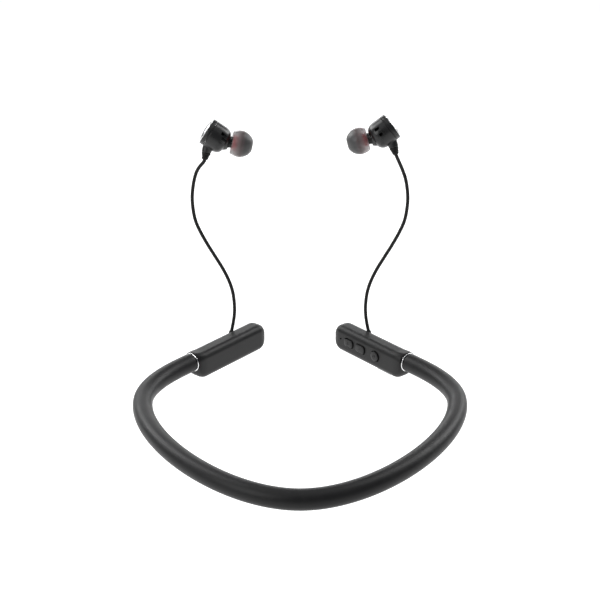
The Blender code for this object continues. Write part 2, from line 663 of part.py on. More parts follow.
# ------------------------------------------------------------------ earbud cables
def catmull_rom(points, step):
    """A smooth curve through route points, read at an even step."""
    padded = [points[0] * 2 - points[1]] + points + [points[-1] * 2 - points[-2]]
    dense = []
    for p0, p1, p2, p3 in zip(padded, padded[1:], padded[2:], padded[3:]):
        for i in range(24):
            t = i / 24
            dense.append(0.5 * (p1 * 2 + (p2 - p0) * t + (p0 * 2 - p1 * 5 + p2 * 4 - p3) * t * t
                                + (p1 * 3 - p0 - p2 * 3 + p3) * t ** 3))
    dense.append(points[-1])
    lengths = band_lengths(dense)
    count = round(lengths[-1] / step)
    result = []
    index = 1
    for i in range(count + 1):
        target = lengths[-1] * i / count
        while lengths[index] < target and index < len(dense) - 1:
            index += 1
        share = (target - lengths[index - 1]) / (lengths[index] - lengths[index - 1])
        result.append(dense[index - 1].lerp(dense[index], share))
    return result


CABLE_ROUTE_MM = [
    (-33.0, 145.9, 8.2),
    (-32.4, 146.2, 12.5),
    (-32.3, 146.5, 17.5),
    (-33.0, 146.8, 24.0),
    (-34.7, 146.9, 30.0),
    (-37.6, 147.0, 36.5),
    (-41.0, 147.2, 42.5),
    (-44.7, 147.4, 49.0),
    (-48.0, 147.6, 55.5),
    (-50.3, 147.8, 61.5),
    (-51.3, 148.0, 68.0),
    (-51.4, 148.1, 74.0),
    (-50.4, 148.3, 81.0),
    (-48.6, 148.4, 86.5),
]


def build_cable(side, through, bud_frame, swing):
    """One earbud's cable, from its grommet to its strain relief, along the same route on both sides."""
    exit_point = POD_FRAME @ (GROMMET_SEAT + GROMMET_TILT * (GROMMET_REACH + 2.6 * GAP))
    exit_heading = (POD_FRAME.to_3x3() @ GROMMET_TILT).normalized()
    route = [exit_point, exit_point + exit_heading * 1.2 * MM]
    route += [Vector(point) * MM for point in CABLE_ROUTE_MM]
    route = [through @ point for point in route]
    strain_heading = (bud_frame.to_3x3() @ STRAIN_DIRECTION).normalized()
    strain_end = bud_frame @ STRAIN_TOP + strain_heading * (STRAIN_LENGTH + 1.6 * GAP)
    route += [strain_end + strain_heading * reach for reach in (0.8 * MM, 0.0)]
    tube(side + "_cable", catmull_rom(route, CABLE_STEP), CABLE_RADIUS, MATERIALS["cable"], 2, swing)

    end = -STRAIN_LENGTH / MM
    profile = [(0, 0), (2.0, 0), (2.15, -0.5), (1.95, -1.6), (1.6, -2.8), (1.35, -3.8), (1.25, end), (0, end)]
    turned(side + "_strain_relief", profile, MATERIALS["cable"],
           axis_matrix(bud_frame @ STRAIN_TOP, -strain_heading), swing, steps=16)


# ------------------------------------------------------------------ build
clear_scene()
PARTS = new_collection("neckband_earphones")
CUTTERS = new_collection("cutters")
MATERIALS = {
    "silicone": new_material("silicone", (0.035, 0.035, 0.038), 0.5),
    "pod": new_material("pod_plastic", (0.04, 0.04, 0.043), 0.38),
    "plastic": new_material("plain_plastic", (0.06, 0.06, 0.06), 0.5),
    "chrome": new_material("chrome", (0.85, 0.85, 0.87), 0.08, 1.0),
    "steel": new_material("steel", (0.6, 0.6, 0.62), 0.3, 1.0),
    "board": new_material("circuit_board", (0.02, 0.12, 0.05), 0.4),
    "battery": new_material("battery_foil", (0.5, 0.5, 0.52), 0.35, 0.6),
    "cable": new_material("cable_jacket", (0.02, 0.02, 0.022), 0.45),
    "bud": new_material("bud_plastic", (0.045, 0.045, 0.048), 0.35),
    "tip": new_material("tip_silicone", (0.25, 0.25, 0.26), 0.4),
    "core": new_material("core_silicone", (0.25, 0.02, 0.025), 0.4),
}

POD_FRAME = frame_matrix(POD_MOUTH, POD_HEADING, Vector((-0.768, 0.64, 0.0)))
RIGHT_POD_FRAME_MIRRORED = MIRROR @ POD_FRAME
BUD_FRAME = frame_matrix(LEFT_BUD_CENTRE, LEFT_BUD_FRONT, LEFT_BUD_UP.cross(LEFT_BUD_FRONT))
RIGHT_BUD_FRAME = frame_matrix(RIGHT_BUD_CENTRE, RIGHT_BUD_FRONT, RIGHT_BUD_UP.cross(RIGHT_BUD_FRONT))
FLIP_SIDEWAYS = Matrix.Scale(-1, 4, Y_AXIS)
TO_RIGHT_BUD = RIGHT_BUD_FRAME @ FLIP_SIDEWAYS @ BUD_FRAME.inverted()
BUD_AXIS = BUD_FRAME @ Matrix.Rotation(math.radians(90), 4, "Y")
NOZZLE_TURN = Matrix.Rotation(math.radians(90) - NOZZLE_ANGLE, 4, "Y")
NOZZLE_AXIS = BUD_FRAME @ Matrix.Translation(COLLAR) @ NOZZLE_TURN

LEFT_FLEX = new_pivot("left_flex_axis", band_at(FLEX_AT))
RIGHT_FLEX = new_pivot("right_flex_axis", band_at(-FLEX_AT))
SWING_POINT = POD_FRAME @ (GROMMET_SEAT + GROMMET_TILT * (GROMMET_REACH + GAP))
LEFT_SWING = new_pivot("left_swing_axis", SWING_POINT)
RIGHT_SWING = new_pivot("right_swing_axis", MIRROR @ SWING_POINT)
LEFT_TIP = new_pivot("left_tip_axis", NOZZLE_AXIS.translation)
RIGHT_TIP = new_pivot("right_tip_axis", TO_RIGHT_BUD @ NOZZLE_AXIS.translation)

build_band()
build_band_ends()
right_shell = build_pod_shells()
build_grommets()
build_left_electronics()
build_right_electronics(right_shell)
build_buttons(right_shell)
build_bud_housings()
build_bud_internals()
build_ear_tips()
build_cable("left", Matrix.Identity(4), BUD_FRAME, LEFT_SWING)
build_cable("right", MIRROR, RIGHT_BUD_FRAME @ FLIP_SIDEWAYS, RIGHT_SWING)
bpy.context.view_layer.update()
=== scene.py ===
"""The looks of the neckband earphones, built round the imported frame.

Every piece is in metres, in the frame of the CAD: the nape of the neck at the origin, +Y towards the pods,
+X towards the pod that carries the buttons and +Z up. Sizes below are in millimetres times MM.
"""
import math
import bmesh
import bpy
from mathutils import Matrix, Vector


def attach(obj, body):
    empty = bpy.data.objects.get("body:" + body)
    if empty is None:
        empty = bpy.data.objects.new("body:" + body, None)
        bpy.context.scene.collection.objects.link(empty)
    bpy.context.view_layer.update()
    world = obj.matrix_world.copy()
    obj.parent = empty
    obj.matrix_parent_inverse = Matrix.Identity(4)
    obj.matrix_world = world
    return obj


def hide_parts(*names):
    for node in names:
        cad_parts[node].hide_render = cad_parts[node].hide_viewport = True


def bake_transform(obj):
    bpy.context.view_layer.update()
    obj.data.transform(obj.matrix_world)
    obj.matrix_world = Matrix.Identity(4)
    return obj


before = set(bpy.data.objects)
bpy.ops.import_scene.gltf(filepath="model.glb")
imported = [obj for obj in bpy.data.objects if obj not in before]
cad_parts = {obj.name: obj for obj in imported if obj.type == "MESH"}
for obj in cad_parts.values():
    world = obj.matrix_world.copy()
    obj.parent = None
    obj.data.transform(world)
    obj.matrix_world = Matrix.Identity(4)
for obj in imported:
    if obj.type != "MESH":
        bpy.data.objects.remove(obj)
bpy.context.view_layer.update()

MM = 0.001
GAP = 0.3 * MM                      # clearance between neighbouring pieces
X_AXIS = Vector((1, 0, 0))
Y_AXIS = Vector((0, 1, 0))
Z_AXIS = Vector((0, 0, 1))
SIDES = ("left", "right")
MIRROR = Matrix.Scale(-1, 4, X_AXIS)
THROUGH = {"left": Matrix.Identity(4), "right": MIRROR}
FLIP_SIDEWAYS = Matrix.Scale(-1, 4, Y_AXIS)

# ---- neckband ----
BAND_RADIUS = 4.5 * MM
LUMEN_RADIUS = 2.2 * MM
BAND_HALF_WIDTH = 71.2 * MM
BAND_WIDEST_Y = 80.0 * MM
NAPE_HANDLE = 32.0 * MM
SIDE_HANDLE = 35.0 * MM
SHOULDER_HANDLE = 18.0 * MM
POD_HANDLE = 8.0 * MM
WIRE_RADIUS = 0.6 * MM
HARNESS_RADIUS = 0.8 * MM
CORE_OFFSET = 0.9 * MM
RING_WIDTH = 0.6 * MM
RING_RADIUS = 4.72 * MM
SOCKET_RADIUS = 3.4 * MM

# ---- pods, in a frame on the band's end: x along the pod, y outwards, z up ----
POD_MOUTH = Vector((-51.5, 118.5, 0.0)) * MM
POD_HEADING = Vector((0.64, 0.768, 0.0)).normalized()
POD_LENGTH = 48.4 * MM
POD_INNER = -5.5 * MM
POD_OUTER = 4.1 * MM
POD_TOP = 4.5 * MM
POD_BOTTOM = -8.9 * MM
POD_CORNER = 3.2 * MM
POD_NECK_RADIUS = 4.75 * MM
POD_WALL = 1.2 * MM
NEAR_BLEND = 5.0 * MM
FAR_BLEND = 5.0 * MM
FAR_SHRINK = (4.2 * MM, 2.8 * MM)   # how much the far end draws in, in height and in width
LID_SEAM_X = 5.0 * MM
LID_SEAM_Y = 2.6 * MM
LID_SEAM_Z = 0.9 * MM
LID_LINE = 0.12 * MM                # the seam that shows round the lid

# ---- buttons on the right pod ----
BUTTON_Z = -1.8 * MM
VOLUME_HALF = (3.0 * MM, 1.9 * MM)
VOLUME_CORNER = 1.3 * MM
POWER_RADIUS = 2.5 * MM
BUTTON_X = {"volume_up": 36.0 * MM, "volume_down": 27.5 * MM, "power": 17.0 * MM}
BUTTON_PROUD = 0.8 * MM
BUTTON_DEPTH = 2.4 * MM
BUTTON_GAP = 0.35 * MM
ICON_DEPTH = 0.14 * MM
MIC_X = 42.1 * MM
MIC_Z = -1.5 * MM
MIC_RADIUS = 0.45 * MM
PORT_X = 12.0 * MM

# ---- cables ----
CABLE_RADIUS = 0.85 * MM
GROMMET_SEAT = Vector((31.1, 3.16, 3.56)) * MM
GROMMET_TILT = Vector((0.45, 0.1, 0.89)).normalized()
GROMMET_REACH = 0.6 * MM
GROMMET_HOLE = 1.45                 # millimetres
TOUCH = 0.03 * MM                   # the cable's ends stop this close to the grommet and the relief

# ---- earbuds, in a frame on the rear rim: x towards the nozzle side, z up, y away from the nape ----
BUD_CENTRE = {"left": Vector((-43.0, 150.0, 104.8)) * MM, "right": Vector((42.35, 150.0, 107.2)) * MM}
BUD_FRONT = {"left": Vector((0.831, -0.112, -0.545)), "right": Vector((-0.795, -0.177, -0.580))}
BUD_UP = {"left": Vector((0.596, 0.358, 0.688)), "right": Vector((-0.616, 0.373, 0.682))}
NOZZLE_ANGLE = math.radians(23.0)
COLLAR = Vector((10.3, 0.0, 1.4)) * MM
TIP_START = 1.5                     # millimetres along the nozzle from the collar
TIP_LENGTH = 9.9
TIP_RADIUS = 6.3
STRAIN_TOP = Vector((4.4, 1.2, -8.4)) * MM
STRAIN_DIRECTION = Vector((0.33, 0.2, -0.92)).normalized()
STRAIN_LENGTH = 3.6 * MM
BOSS_RADIUS = 2.3 * MM
# slots in the housing's side, each with its centre x and z
VENTS = {"left": ((6.8, 2.3), (8.2, 0.4)), "right": ((5.8, 2.3), (5.4, -0.9))}
VENT_HALF = (1.35, 0.7)
# a raised tab by the slots: its x and its angle round the bud
TAB = {"left": (7.2, 17.0), "right": (6.1, 26.0)}

# ---- studio ----
FLOOR_Z = -250.0 * MM               # low enough for the earbuds to hang clear of it
CAMERA_PLACE = Vector((0.0, -482.5, 300.0)) * MM
CAMERA_PITCH = math.radians(66.0)
CAMERA_LENS = 84.0
OBJECT_MIDDLE = Vector((0.0, 75.0, 30.0)) * MM


# ------------------------------------------------------------------ camera
def add_camera():
    data = bpy.data.cameras.new("camera")
    data.lens = CAMERA_LENS
    data.sensor_width = 36.0
    data.clip_start = 0.01
    data.clip_end = 20.0
    camera = bpy.data.objects.new("camera", data)
    camera.location = CAMERA_PLACE
    camera.rotation_euler = (CAMERA_PITCH, 0, 0)
    bpy.context.scene.collection.objects.link(camera)
    bpy.context.scene.camera = camera


# ------------------------------------------------------------------ materials
def add_node(tree, kind, **values):
    node = tree.nodes.new(kind)
    for name, value in values.items():
        socket = name.replace("_", " ")
        if socket in node.inputs:
            node.inputs[socket].default_value = value
        else:
            setattr(node, name, value)
    return node


def new_material(name, colour, roughness, metallic=0.0, **sockets):
    """A Principled material; sockets are set by name, with _ for a space."""
    material = bpy.data.materials.new(name)
    material.use_nodes = True
    shader = material.node_tree.nodes["Principled BSDF"]
    shader.inputs["Base Color"].default_value = (*colour, 1.0)
    shader.inputs["Roughness"].default_value = roughness
    shader.inputs["Metallic"].default_value = metallic
    for socket, value in sockets.items():
        shader.inputs[socket.replace("_", " ")].default_value = value
    return material


def noise_field(material, size, detail=3.0, stretch=(1, 1, 1)):
    """Noise in the object's own coordinates; size is the width of its features in metres."""
    tree = material.node_tree
    place = add_node(tree, "ShaderNodeTexCoord")
    mapping = add_node(tree, "ShaderNodeMapping")
    mapping.inputs["Scale"].default_value = stretch
    field = add_node(tree, "ShaderNodeTexNoise", Scale=1.0 / size, Detail=detail, Roughness=0.55)
    tree.links.new(place.outputs["Object"], mapping.inputs["Vector"])
    tree.links.new(mapping.outputs["Vector"], field.inputs["Vector"])
    return field.outputs["Fac"]


def spread(material, value, low, high, start=0.3, end=0.7):
    """Maps a field to the range from low to high."""
    node = add_node(material.node_tree, "ShaderNodeMapRange")
    for socket, number in (("From Min", start), ("From Max", end), ("To Min", low), ("To Max", high)):
        node.inputs[socket].default_value = number
    material.node_tree.links.new(value, node.inputs["Value"])
    return node.outputs["Result"]


def vary_colour(material, value, dark, light):
    tree = material.node_tree
    ramp = add_node(tree, "ShaderNodeValToRGB")
    ramp.color_ramp.elements[0].position = 0.3
    ramp.color_ramp.elements[0].color = (*dark, 1)
    ramp.color_ramp.elements[1].position = 0.7
    ramp.color_ramp.elements[1].color = (*light, 1)
    tree.links.new(value, ramp.inputs["Fac"])
    tree.links.new(ramp.outputs["Color"], tree.nodes["Principled BSDF"].inputs["Base Color"])


def vary_roughness(material, value, low, high):
    tree = material.node_tree
    tree.links.new(spread(material, value, low, high), tree.nodes["Principled BSDF"].inputs["Roughness"])


def add_bump(material, value, height, strength=1.0):
    """Bumps whose depth is given in metres."""
    tree = material.node_tree
    bump = add_node(tree, "ShaderNodeBump", Strength=strength, Distance=height)
    shader = tree.nodes["Principled BSDF"]
    previous = shader.inputs["Normal"].links
    if previous:
        tree.links.new(previous[0].from_socket, bump.inputs["Normal"])
    tree.links.new(value, bump.inputs["Height"])
    tree.links.new(bump.outputs["Normal"], shader.inputs["Normal"])


def textured(name, dark, light, rough, grain, grain_height, patch=6 * MM, metallic=0.0, stretch=(1, 1, 1),
             **sockets):
    """A surface whose colour and gloss drift slowly, with a fine moulded or drawn grain."""
    material = new_material(name, light, rough[0], metallic, **sockets)
    slow = noise_field(material, patch, 4.0)
    fine = noise_field(material, grain, 2.0, stretch)
    vary_colour(material, slow, dark, light)
    vary_roughness(material, slow, *rough)
    add_bump(material, fine, grain_height)
    return material


def grey(level, tint=0.0):
    return (level, level, level * (1 + tint))


def tip_material():
    """Smoky silicone that lets more light through at its skirt than at its nose."""
    material = new_material("tip_silicone", grey(0.3), 0.4, IOR=1.41, Transmission_Weight=0.5)
    tree = material.node_tree
    shader = tree.nodes["Principled BSDF"]
    along = add_node(tree, "ShaderNodeAttribute", attribute_name="along")
    slow = noise_field(material, 3 * MM)
    vary_roughness(material, slow, 0.34, 0.46)
    ramp = add_node(tree, "ShaderNodeValToRGB")
    stops = ramp.color_ramp.elements
    stops[0].color = (*grey(0.6), 1)
    stops[1].color = (*grey(0.075), 1)
    for place, colour in ((0.2, (0.5, 0.46, 0.46, 1)), (0.45, (0.14, 0.11, 0.11, 1)),
                          (0.65, (*grey(0.07), 1))):
        stops.new(place).color = colour
    tree.links.new(along.outputs["Fac"], ramp.inputs["Fac"])
    tree.links.new(ramp.outputs["Color"], shader.inputs["Base Color"])
    clear = spread(material, along.outputs["Fac"], 0.95, 0.3, 0.15, 0.6)
    tree.links.new(clear, shader.inputs["Transmission Weight"])
    add_bump(material, noise_field(material, 0.25 * MM, 2.0), 0.006 * MM)
    return material


def board_material():
    """Solder mask with a hint of the tracks under it."""
    material = new_material("circuit_board", (0.02, 0.12, 0.05), 0.35)
    tree = material.node_tree
    place = add_node(tree, "ShaderNodeTexCoord")
    tracks = add_node(tree, "ShaderNodeTexBrick", Scale=900.0, Mortar_Size=0.02)
    tracks.inputs["Color1"].default_value = (0.015, 0.1, 0.04, 1)
    tracks.inputs["Color2"].default_value = (0.02, 0.13, 0.05, 1)
    tracks.inputs["Mortar"].default_value = (0.1, 0.3, 0.12, 1)
    tree.links.new(place.outputs["Object"], tracks.inputs["Vector"])
    tree.links.new(tracks.outputs["Color"], tree.nodes["Principled BSDF"].inputs["Base Color"])
    vary_roughness(material, noise_field(material, 2 * MM), 0.3, 0.45)
    return material


def make_materials():
    fine = 0.22 * MM
    return {
        "band": textured("band_silicone", grey(0.009), grey(0.012, 0.03), (0.4, 0.48), fine, 0.012 * MM,
                         Specular_IOR_Level=0.22),
        "pod": textured("pod_plastic", grey(0.006), grey(0.008, 0.03), (0.42, 0.48), fine, 0.008 * MM,
                        Specular_IOR_Level=0.28),
        "button": textured("button_plastic", grey(0.007), grey(0.009, 0.03), (0.36, 0.42), fine, 0.008 * MM,
                           Specular_IOR_Level=0.33),
        "plain": textured("plain_plastic", grey(0.05), grey(0.06), (0.4, 0.5), fine, 0.01 * MM),
        "chrome": textured("bright_trim", grey(0.82), grey(0.88), (0.05, 0.09), 1.5 * MM, 0.002 * MM,
                           metallic=1.0),
        "steel": textured("steel", grey(0.5), grey(0.6), (0.25, 0.4), 0.1 * MM, 0.006 * MM, metallic=1.0,
                          stretch=(1, 1, 0.1)),
        "foil": textured("battery_foil", grey(0.45), grey(0.55), (0.28, 0.42), 1.2 * MM, 0.03 * MM,
                         metallic=0.7),
        "board": board_material(),
        "cable": textured("cable_jacket", grey(0.006), grey(0.009), (0.45, 0.55), 0.3 * MM, 0.01 * MM,
                          Specular_IOR_Level=0.2),
        "bud": textured("bud_plastic", grey(0.010), grey(0.013, 0.03), (0.26, 0.32), fine, 0.008 * MM,
                        Specular_IOR_Level=0.4),
        "gloss": textured("collar_plastic", grey(0.008), grey(0.011), (0.08, 0.14), 2 * MM, 0.004 * MM),
        "tip": tip_material(),
        "cap": textured("bud_cap_metal", grey(0.42), grey(0.48), (0.07, 0.12), 1.5 * MM, 0.002 * MM,
                        metallic=1.0),
        "core": textured("core_silicone", (0.62, 0.01, 0.018), (0.72, 0.016, 0.026), (0.3, 0.4), 0.3 * MM,
                         0.01 * MM),
    }


CAD_LOOKS = {
    "plain": ("left_band_plug", "right_band_plug", "left_driver", "right_driver", "left_magnet",
              "right_magnet"),
    "foil": ("battery_cell",),
    "board": ("protection_board", "main_board"),
    "steel": ("radio_module", "microphone", "volume_up_switch", "volume_down_switch", "power_switch",
              "charging_port"),
}


def dress_cad_nodes():
    for look, nodes in CAD_LOOKS.items():
        for node in nodes:
            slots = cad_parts[node].material_slots
            for slot in slots:
                slot.material = MATERIALS[look]


# ------------------------------------------------------------------ mesh helpers
def frame_matrix(origin, along, side):
    """A frame whose x runs along, whose y is as near to side as it can be, and whose z completes them."""
    x = along.normalized()
    z = x.cross(side).normalized()
    y = z.cross(x)
    return Matrix.Translation(origin) @ Matrix((x, y, z)).transposed().to_4x4()


def axis_matrix(origin, axis):
    """A frame whose z runs along an axis, for turned pieces."""
    return Matrix.Translation(origin) @ axis.to_track_quat("Z", "Y").to_matrix().to_4x4()


def mix(a, b, share):
    return a + (b - a) * share


def mesh_from(bm, name="draft"):
    bmesh.ops.recalc_face_normals(bm, faces=bm.faces)
    mesh = bpy.data.meshes.new(name)
    bm.to_mesh(mesh)
    bm.free()
    return mesh


def moved(mesh, matrix):
    """The mesh put through a matrix, with its faces still looking outwards."""
    mesh.transform(matrix)
    if matrix.determinant() < 0:
        mesh.flip_normals()
    return mesh


def span_mesh(low, high):
    """A box between two opposite corners, in millimetres."""
    low = Vector(low) * MM
    high = Vector(high) * MM
    bm = bmesh.new()
    bmesh.ops.create_cube(bm, size=1.0)
    bmesh.ops.scale(bm, vec=high - low, verts=bm.verts)
    bmesh.ops.translate(bm, vec=(low + high) / 2, verts=bm.verts)
    return mesh_from(bm)


def lathe(profile, steps, closed):
    """A turned mesh round z from (radius, height) points."""
    bm = bmesh.new()
    rings = []
    for radius, height in profile:
        count = 1 if radius < 1e-7 else steps
        angles = [2 * math.pi * i / count for i in range(count)]
        rings.append([bm.verts.new((radius * math.cos(a), radius * math.sin(a), height)) for a in angles])
    pairs = list(zip(rings, rings[1:]))
    if closed:
        pairs.append((rings[-1], rings[0]))
    for lower, upper in pairs:
        for i in range(steps):
            corners = [lower[i % len(lower)], lower[(i + 1) % len(lower)],
                       upper[(i + 1) % len(upper)], upper[i % len(upper)]]
            bm.faces.new(list(dict.fromkeys(corners)))
    return mesh_from(bm)


def curve_through(points, steps):
    """A Catmull-Rom curve through points, which keeps its two ends."""
    padded = [points[0] * 2 - points[1]] + list(points) + [points[-1] * 2 - points[-2]]
    curve = []
    for p0, p1, p2, p3 in zip(padded, padded[1:], padded[2:], padded[3:]):
        for i in range(steps):
            t = i / steps
            curve.append(0.5 * (p1 * 2 + (p2 - p0) * t + (p0 * 2 - p1 * 5 + p2 * 4 - p3) * t * t
                                + (p1 * 3 - p0 - p2 * 3 + p3) * t ** 3))
    curve.append(points[-1])
    return curve


def lengths_along(points):
    lengths = [0.0]
    for first, second in zip(points, points[1:]):
        lengths.append(lengths[-1] + (second - first).length)
    return lengths


def even_points(points, step):
    """The same line, read at even steps."""
    lengths = lengths_along(points)
    count = round(lengths[-1] / step)
    result = []
    index = 1
    for i in range(count + 1):
        target = lengths[-1] * i / count
        while lengths[index] < target and index < len(points) - 1:
            index += 1
        share = (target - lengths[index - 1]) / (lengths[index] - lengths[index - 1])
        result.append(points[index - 1].lerp(points[index], share))
    return result


def turned(*runs, steps=64, closed=False, smoothing=6):
    """A turned mesh. Each run of (radius, height) points, in millimetres, is a smooth curve.

    Runs meet in edges.
    """
    profile = []
    for run in runs:
        points = [Vector(point) * MM for point in run]
        curve = curve_through(points, smoothing) if len(points) > 2 else points
        if profile and (curve[0] - profile[-1]).length < 1e-7:
            curve = curve[1:]
        profile += curve
    if closed and (profile[0] - profile[-1]).length < 1e-7:
        profile.pop()
    return lathe([(max(point.x, 0.0), point.y) for point in profile], steps, closed)


def ring_of(bm, centre, side, up, radius, sides):
    angles = [2 * math.pi * i / sides for i in range(sides)]
    return [bm.verts.new(centre + side * (radius * math.cos(a)) + up * (radius * math.sin(a)))
            for a in angles]


def sweep(points, radii, sides, bore=0.0, lead=None):
    """A round tube through points, solid or with a bore.

    lead is a point before the first, for its heading.
    """
    bm = bmesh.new()
    outer = []
    inner = []
    side = None
    for index, point in enumerate(points):
        before = points[index - 1] if index else (lead or point)
        after = points[min(index + 1, len(points) - 1)]
        heading = (after - before).normalized()
        if side is None:
            side = heading.cross(Z_AXIS) if abs(heading.z) < 0.9 else heading.cross(Y_AXIS)
        side = (side - heading * side.dot(heading)).normalized()
        up = heading.cross(side)
        outer.append(ring_of(bm, point, side, up, radii[index], sides))
        if bore > 0:
            inner.append(ring_of(bm, point, side, up, bore, sides))
    skins = [outer, inner] if bore > 0 else [outer]
    for rings in skins:
        for lower, upper in zip(rings, rings[1:]):
            for i in range(sides):
                bm.faces.new((lower[i], lower[(i + 1) % sides], upper[(i + 1) % sides], upper[i]))
    for end in (0, -1):
        if bore > 0:
            for i in range(sides):
                j = (i + 1) % sides
                bm.faces.new((outer[end][i], outer[end][j], inner[end][j], inner[end][i]))
        else:
            bm.faces.new(outer[end])
    return mesh_from(bm)


def loft(sections):
    bm = bmesh.new()
    rings = [[bm.verts.new(point) for point in section] for section in sections]
    count = len(rings[0])
    for lower, upper in zip(rings, rings[1:]):
        for i in range(count):
            j = (i + 1) % count
            bm.faces.new((lower[i], lower[j], upper[j], upper[i]))
    bm.faces.new(rings[0])
    bm.faces.new(rings[-1])
    return mesh_from(bm)


def rounded_section(x, y_low, y_high, z_low, z_high, radius, steps=10):
    """A rectangle with round corners, in the plane at x."""
    radius = min(radius, 0.48 * (y_high - y_low), 0.48 * (z_high - z_low))
    corners = (
        (y_high - radius, z_high - radius, 0),
        (y_low + radius, z_high - radius, 90),
        (y_low + radius, z_low + radius, 180),
        (y_high - radius, z_low + radius, 270),
    )
    points = []
    for y, z, start in corners:
        for step in range(steps + 1):
            angle = math.radians(start + 90 * step / steps)
            points.append(Vector((x, y + radius * math.cos(angle), z + radius * math.sin(angle))))
    return points


def worked(mesh, *steps):
    """The mesh after modelling steps: ("DIFFERENCE" or "UNION", cutter mesh) or (modifier type, settings)."""
    scene = bpy.context.scene
    item = bpy.data.objects.new("draft", mesh)
    scene.collection.objects.link(item)
    cutters = []
    for kind, value in steps:
        if kind in ("DIFFERENCE", "UNION", "INTERSECT"):
            cutter = bpy.data.objects.new("cutter", value)
            scene.collection.objects.link(cutter)
            cutters.append(cutter)
            modifier = item.modifiers.new("boolean", "BOOLEAN")
            modifier.operation = kind
            modifier.object = cutter
            modifier.solver = "EXACT"
        else:
            modifier = item.modifiers.new(kind.lower(), kind)
            for name, setting in value.items():
                setattr(modifier, name, setting)
    bpy.context.view_layer.update()
    result = bpy.data.meshes.new_from_object(item.evaluated_get(bpy.context.evaluated_depsgraph_get()))
    for done in [item, *cutters]:
        bpy.data.objects.remove(done, do_unlink=True)
    return result


def finished(name, mesh, look, sharp=35, weighted=False):
    """An object with its material and smooth shading."""
    mesh.name = name
    mesh.materials.clear()
    mesh.materials.append(MATERIALS[look])
    item = bpy.data.objects.new(name, mesh)
    bpy.context.scene.collection.objects.link(item)
    mesh.shade_smooth()
    mesh.set_sharp_from_angle(angle=math.radians(sharp))
    if weighted:
        item.modifiers.new("weighted", "WEIGHTED_NORMAL").keep_sharp = True
    return item


def add_piece(name, mesh, look, body, nodes=(), sharp=35, weighted=False):
    item = finished(name, mesh, look, sharp, weighted)
    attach(item, body)
    if nodes:
        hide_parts(*nodes)
    return item


# ------------------------------------------------------------------ neckband
def bezier_point(p0, p1, p2, p3, t):
    s = 1 - t
    return p0 * s ** 3 + p1 * (3 * s * s * t) + p2 * (3 * s * t * t) + p3 * t ** 3


def half_band():
    """The left half of the centre line, from the nape to the pod's mouth, in many small steps."""
    nape = Vector((0, -BAND_RADIUS, 0))
    side = Vector((-BAND_HALF_WIDTH, BAND_WIDEST_Y, 0))
    spans = (
        (nape, nape - X_AXIS * NAPE_HANDLE, side - Y_AXIS * SIDE_HANDLE, side),
        (side, side + Y_AXIS * SHOULDER_HANDLE, POD_MOUTH - POD_HEADING * POD_HANDLE, POD_MOUTH),
    )
    points = [nape]
    for span in spans:
        points += [bezier_point(*span, i / 400) for i in range(1, 401)]
    return points


def band_point(distance, offset=0.0):
    """A point of the left centre line at a distance from the nape; offset is towards the neck."""
    reach = min(distance, BAND_END)
    index = 1
    while HALF_LENGTHS[index] < reach and index < len(HALF_BAND) - 1:
        index += 1
    low = HALF_BAND[index - 1]
    high = HALF_BAND[index]
    heading = (high - low).normalized()
    point = low + heading * (reach - HALF_LENGTHS[index - 1]) + heading * (distance - reach)
    return point + Vector((heading.y, -heading.x, 0)) * offset


def half_tube(end, offset, radius, sides, step, bore=0.0, lip=0.0):
    """A tube along the left half of the band, cut square at the nape, with a rounded lip at its far end."""
    count = round((end - lip) / step)
    distances = [(end - lip) * i / count for i in range(count + 1)]
    radii = [radius] * len(distances)
    for share in (0.35, 0.65, 0.88, 1.0):
        if lip > 0:
            distances.append(end - lip + lip * share)
            radii.append(radius - lip * (1 - math.sqrt(1 - share * share * 0.98)))
    points = [band_point(distance, offset) for distance in distances]
    lead = MIRROR @ points[1]
    return sweep(points, radii, sides, bore, lead)


def bend_at_hinge(item):
    """Bakes the piece's placement into its mesh."""
    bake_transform(item)


def build_band():
    sleeve_end = BAND_END - RING_WIDTH - 2 * GAP
    runs = (
        ("sleeve", "band", sleeve_end, 0.0, BAND_RADIUS, 48, 1.1 * MM, LUMEN_RADIUS, 0.35 * MM),
        ("memory_wire", "steel", BAND_END + 1.5 * MM, CORE_OFFSET, WIRE_RADIUS, 16, 2 * MM, 0.0, 0.0),
        ("signal_harness", "cable", BAND_END + 5.2 * MM, -CORE_OFFSET, HARNESS_RADIUS, 16, 2 * MM, 0.0, 0.0),
    )
    for name, look, end, offset, radius, sides, step, bore, lip in runs:
        for side in SIDES:
            mesh = moved(half_tube(end, offset, radius, sides, step, bore, lip), THROUGH[side])
            item = finished(side + "_" + name + "_half", mesh, look)
            bend_at_hinge(item)
            if name == "sleeve":
                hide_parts("sleeve_nape", side + "_sleeve")
            else:
                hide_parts(name)


def build_trim_rings():
    """The bright ring between the band and each pod, with a soft crown and eased edges."""
    outer = RING_RADIUS / MM - 0.06
    width = RING_WIDTH / MM - 0.1
    bore = SOCKET_RADIUS / MM
    crown = [(outer - 0.22, width), (outer - 0.06, width - 0.1), (outer, width / 2), (outer - 0.06, 0.1),
             (outer - 0.22, 0)]
    for side in SIDES:
        mesh = turned(crown, [(outer - 0.22, 0), (bore, 0)], [(bore, 0), (bore, width)],
                      [(bore, width), (outer - 0.22, width)], steps=96, closed=True)
        seat = axis_matrix(POD_MOUTH - POD_HEADING * GAP, -POD_HEADING)
        add_piece(side + "_bright_ring", moved(mesh, THROUGH[side] @ seat), "chrome", side + "_arm",
                  (side + "_trim_ring",), sharp=50)


